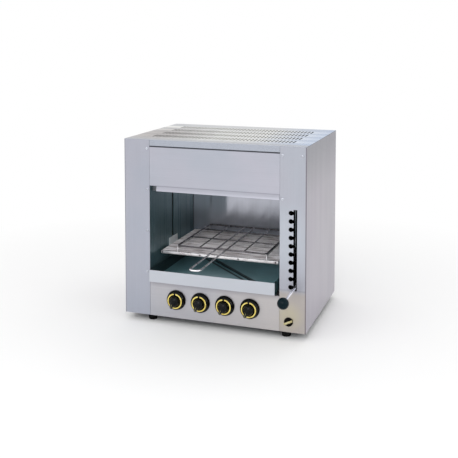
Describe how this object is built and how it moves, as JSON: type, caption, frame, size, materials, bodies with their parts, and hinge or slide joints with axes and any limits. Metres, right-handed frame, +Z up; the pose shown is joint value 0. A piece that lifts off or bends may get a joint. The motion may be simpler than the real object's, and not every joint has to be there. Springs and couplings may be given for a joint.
{
  "type": "gas salamander grill",
  "caption": "Counter-top gas salamander grill with ceramic burners under the top, a lever-lifted wire rack, a drip tray and front control knobs.",
  "frame": {"origin": "on the resting plane, under the middle of the bounding box", "axes": "+X to the grill's right seen from the front, +Y to the back, +Z up"},
  "size_m": [0.58, 0.6049, 0.572],
  "materials": {
    "satin_steel": "satin brushed sheet",
    "cavity_steel": "bright sheet, darkened by heat",
    "bare_steel": "plain",
    "bright_rod": "bright plated",
    "wire_mesh": "woven wire",
    "screw_steel": "plain",
    "burner_steel": "pressed sheet",
    "ceramic": "matt perforated ceramic",
    "brass": "machined",
    "gas_pipe": "zinc plated",
    "gas_tube": "drawn tube",
    "spindle_steel": "ground",
    "black_knob": "moulded",
    "pilot_bar": "moulded",
    "lever_knob": "polished ball",
    "foot_rubber": "moulded"
  },
  "bodies": {
    "casing": {"left_side_panel": "satin_steel", "right_side_panel": "satin_steel", "back_panel": "satin_steel", "top_cover": "satin_steel", "left_front_post": "satin_steel", "right_front_post": "satin_steel", "hood_panel": "satin_steel", "control_panel": "satin_steel", "base_pan": "satin_steel", "cavity_left_wall": "cavity_steel", "cavity_right_wall": "cavity_steel", "cavity_back_wall": "cavity_steel", "burner_deck": "cavity_steel", "lower_deck": "cavity_steel", "tray_runners": "cavity_steel", "injector_rail": "bare_steel", "pilot_burner": "bare_steel", "panel_screws": "screw_steel", "burner_body_1": "burner_steel", "burner_body_2": "burner_steel", "burner_body_3": "burner_steel", "burner_body_4": "burner_steel", "ceramic_plates": "ceramic", "injectors": "brass", "gas_taps": "brass", "shaft_bushes": "brass", "pilot_tap": "brass", "inlet_fitting": "brass", "gas_manifold": "gas_pipe", "inlet_pipe": "gas_pipe", "supply_tube_1": "gas_tube", "supply_tube_2": "gas_tube", "supply_tube_3": "gas_tube", "supply_tube_4": "gas_tube", "pilot_tube": "gas_tube", "knob_bezels": "black_knob", "feet": "foot_rubber"},
    "lift": {"lift_shaft": "bare_steel", "lift_arm_left": "bare_steel", "lift_arm_right": "bare_steel", "lever_pivot_pin": "bare_steel"},
    "lever": {"lever_rod": "bright_rod", "lever_ball": "lever_knob"},
    "carriage": {"slide_blocks": "bare_steel", "carrier_brackets": "bare_steel", "carrier_frame": "bright_rod", "carrier_mesh": "wire_mesh"},
    "rack": {"rack_frame": "bright_rod"},
    "tray": {"drip_tray": "cavity_steel"},
    "pilot": {"pilot_lever": "pilot_bar"},
    "spindle_1": {"tap_spindle_1": "spindle_steel"},
    "knob_1": {"knob_1": "black_knob"},
    "spindle_2": {"tap_spindle_2": "spindle_steel"},
    "knob_2": {"knob_2": "black_knob"},
    "spindle_3": {"tap_spindle_3": "spindle_steel"},
    "knob_3": {"knob_3": "black_knob"},
    "spindle_4": {"tap_spindle_4": "spindle_steel"},
    "knob_4": {"knob_4": "black_knob"}
  },
  "joints": [
    {"name": "lever_lift", "type": "hinge", "parent": "casing", "child": "lift", "pos_m": [0, 0.2565, 0.267], "axis": [-1, 0, 0], "range_deg": [0, 31.14]},
    {"name": "rack_lift", "type": "slide", "parent": "casing", "child": "carriage", "axis": [0, 0, 1], "range_m": [0, 0.11803]},
    {"name": "lever_swing", "type": "hinge", "parent": "lift", "child": "lever", "pos_m": [0.2568, 0.1625, 0.2408], "axis": [0, 0.2685, -0.9633], "range_deg": [0, 2.44]},
    {"name": "rack_pull", "type": "slide", "parent": "carriage", "child": "rack", "axis": [0, -1, 0], "range_m": [0, 0.15]},
    {"name": "tray_pull", "type": "slide", "parent": "casing", "child": "tray", "axis": [0, -1, 0], "range_m": [0, 0.25]},
    {"name": "pilot_turn", "type": "hinge", "parent": "casing", "child": "pilot", "pos_m": [0.238, -0.1375, 0.053], "axis": [0, -1, 0], "range_deg": [0, 90]},
    {"name": "tap_turn_1", "type": "hinge", "parent": "casing", "child": "spindle_1", "pos_m": [-0.118, -0.1375, 0.079], "axis": [0, -1, 0], "range_deg": [0, 180]},
    {"name": "knob_push_1", "type": "slide", "parent": "spindle_1", "child": "knob_1", "axis": [0, 1, 0], "range_m": [0, 0.003], "stiffness_N_per_m": 2500, "springref_m": -0.001},
    {"name": "tap_turn_2", "type": "hinge", "parent": "casing", "child": "spindle_2", "pos_m": [-0.039, -0.1375, 0.079], "axis": [0, -1, 0], "range_deg": [0, 180]},
    {"name": "knob_push_2", "type": "slide", "parent": "spindle_2", "child": "knob_2", "axis": [0, 1, 0], "range_m": [0, 0.003], "stiffness_N_per_m": 2500, "springref_m": -0.001},
    {"name": "tap_turn_3", "type": "hinge", "parent": "casing", "child": "spindle_3", "pos_m": [0.04, -0.1375, 0.079], "axis": [0, -1, 0], "range_deg": [0, 180]},
    {"name": "knob_push_3", "type": "slide", "parent": "spindle_3", "child": "knob_3", "axis": [0, 1, 0], "range_m": [0, 0.003], "stiffness_N_per_m": 2500, "springref_m": -0.001},
    {"name": "tap_turn_4", "type": "hinge", "parent": "casing", "child": "spindle_4", "pos_m": [0.119, -0.1375, 0.079], "axis": [0, -1, 0], "range_deg": [0, 180]},
    {"name": "knob_push_4", "type": "slide", "parent": "spindle_4", "child": "knob_4", "axis": [0, 1, 0], "range_m": [0, 0.003], "stiffness_N_per_m": 2500, "springref_m": -0.001}
  ],
  "couplings": [
    {"joint": "rack_lift", "follows": "lever_lift", "m_per_rad": 0.21712}
  ]
}
